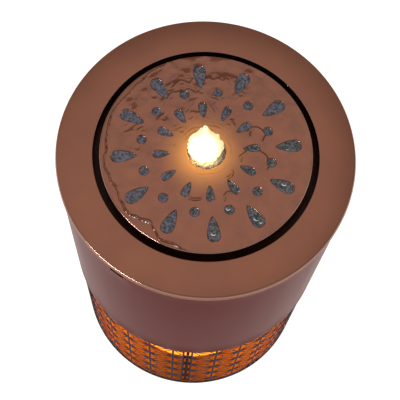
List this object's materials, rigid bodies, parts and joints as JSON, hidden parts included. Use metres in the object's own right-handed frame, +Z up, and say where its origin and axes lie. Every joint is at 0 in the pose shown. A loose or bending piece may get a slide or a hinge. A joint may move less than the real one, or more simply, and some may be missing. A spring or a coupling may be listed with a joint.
{
  "type": "tabletop water fountain",
  "caption": "Lit metal drum fountain: water wells up through a lift-out pierced plate and drains to a hidden basin with a submersible pump; pierced lattice lower band glows.",
  "frame": {"origin": "centre of the footprint, on the surface that the feet stand on", "axes": "+Z up along the drum's axis, -Y the front, where the lattice seam and the rim slot are, +Y the back with the cable grommet"},
  "size_m": [0.254, 0.254, 0.403],
  "materials": {
    "copper_paint": "satin brown copper paint",
    "skirt_paint": "satin brown copper paint, slightly greyer",
    "steel": "zinc plated",
    "black_plastic": "matt moulded",
    "rubber": "matt",
    "amber_acrylic": "frosted, lit from inside",
    "circuit_board": "white solder mask",
    "led": "phosphor",
    "white_plastic": "moulded",
    "cable": "smooth sheath",
    "clear_tube": "clear",
    "clear_lens": "clear",
    "laminated_steel": "stacked laminations",
    "copper_wire": "enamelled winding",
    "ceramic": "polished",
    "ferrite": "sintered",
    "clear_rubber": "clear"
  },
  "bodies": {
    "drum": {"rim_ring": "copper_paint", "rim_clips": "steel", "skirt_band": "skirt_paint", "lattice_tube": "skirt_paint", "seam_strip": "skirt_paint", "base_plate": "steel", "rubber_feet": "rubber", "deck_plate": "steel", "basin": "black_plastic", "diffuser_tube": "amber_acrylic", "tie_bolts": "steel", "weld_nuts": "steel", "led_board": "circuit_board", "led_chips": "led", "board_spacers": "steel", "board_screws": "steel", "board_terminal": "white_plastic", "led_lead": "cable", "junction_box": "black_plastic", "junction_lid": "black_plastic", "cable_grommet": "rubber", "basin_gland": "black_plastic", "gland_nut": "black_plastic", "pump_lead": "cable", "plate_posts": "steel", "post_caps": "rubber", "riser_tube": "clear_tube", "nozzle": "black_plastic", "jet_light_housing": "black_plastic", "jet_light_board": "circuit_board", "jet_light_lens": "clear_lens", "jet_light_lead": "cable", "lead_ties": "black_plastic", "pump_body": "black_plastic", "pump_rear_cap": "black_plastic", "motor_core": "laminated_steel", "motor_coil": "copper_wire", "pump_cover": "black_plastic", "cover_screws": "steel", "rotor_shaft": "ceramic", "shaft_bushes": "white_plastic", "suction_cups": "clear_rubber"},
    "water_plate": {"water_plate": "copper_paint"},
    "intake_grille": {"intake_grille": "black_plastic"},
    "flow_shutter": {"flow_shutter": "black_plastic"},
    "rotor": {"impeller": "white_plastic", "rotor_magnet": "ferrite"}
  },
  "joints": [
    {"name": "plate_lift", "type": "slide", "parent": "drum", "child": "water_plate", "axis": [0, 0, 1], "range_m": [0, 0.06]},
    {"name": "grille_pull", "type": "slide", "parent": "drum", "child": "intake_grille", "axis": [0, -1, 0], "range_m": [0, 0.03]},
    {"name": "shutter_slide", "type": "slide", "parent": "intake_grille", "child": "flow_shutter", "axis": [1, 0, 0], "range_m": [0, 0.02]},
    {"name": "rotor_spin", "type": "hinge", "parent": "drum", "child": "rotor", "pos_m": [-0.012, 0, 0.233], "axis": [0, 1, 0], "continuous": true}
  ]
}
